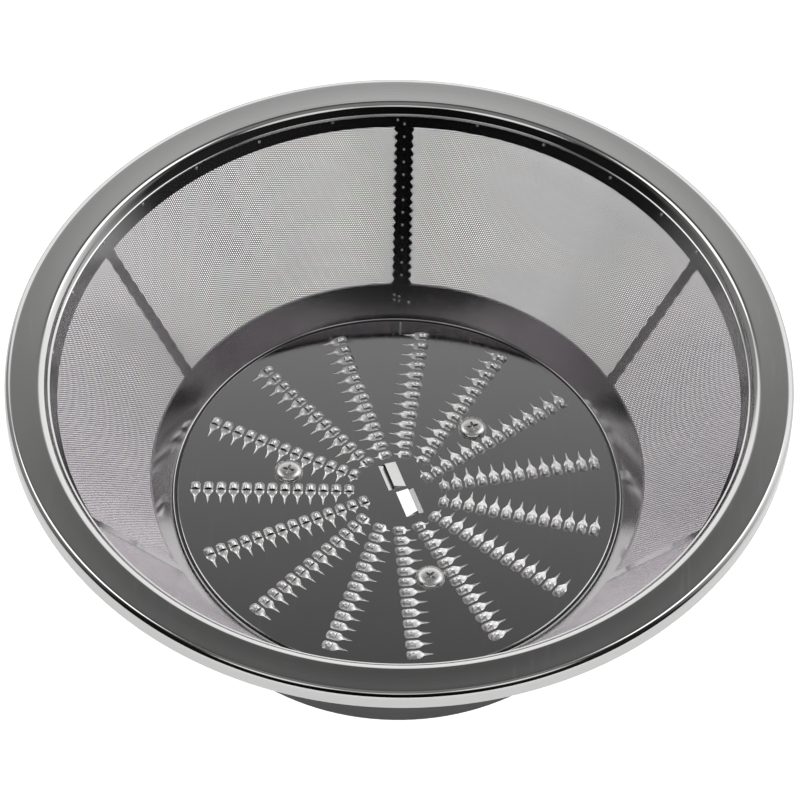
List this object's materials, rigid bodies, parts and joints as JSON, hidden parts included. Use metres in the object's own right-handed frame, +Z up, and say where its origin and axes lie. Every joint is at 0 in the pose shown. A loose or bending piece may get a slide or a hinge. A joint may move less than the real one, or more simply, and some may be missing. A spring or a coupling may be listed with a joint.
{
  "type": "juicer mesh screen",
  "caption": "Conical perforated filter basket of a centrifugal juicer, with a pressed rim, a flat grater disc with rows of lanced teeth and a moulded base with a drive socket.",
  "frame": {"origin": "centre of the base's lower edge, on the spin axis", "axes": "+Z up along the spin axis, out of the basket's mouth; -Y towards the front of the picture, with the screen's lap seam at +Y"},
  "size_m": [0.18, 0.18, 0.06],
  "materials": {
    "polished_steel": "polished stainless sheet",
    "etched_steel": "etched stainless sheet, satin",
    "screw_steel": "bright stainless",
    "dark_plastic": "fine satin moulding"
  },
  "bodies": {
    "root": {"rim_ring": "polished_steel", "mesh_screen": "etched_steel", "grater_disc": "polished_steel", "disc_screws": "screw_steel", "drive_hub": "dark_plastic"}
  },
  "joints": []
}
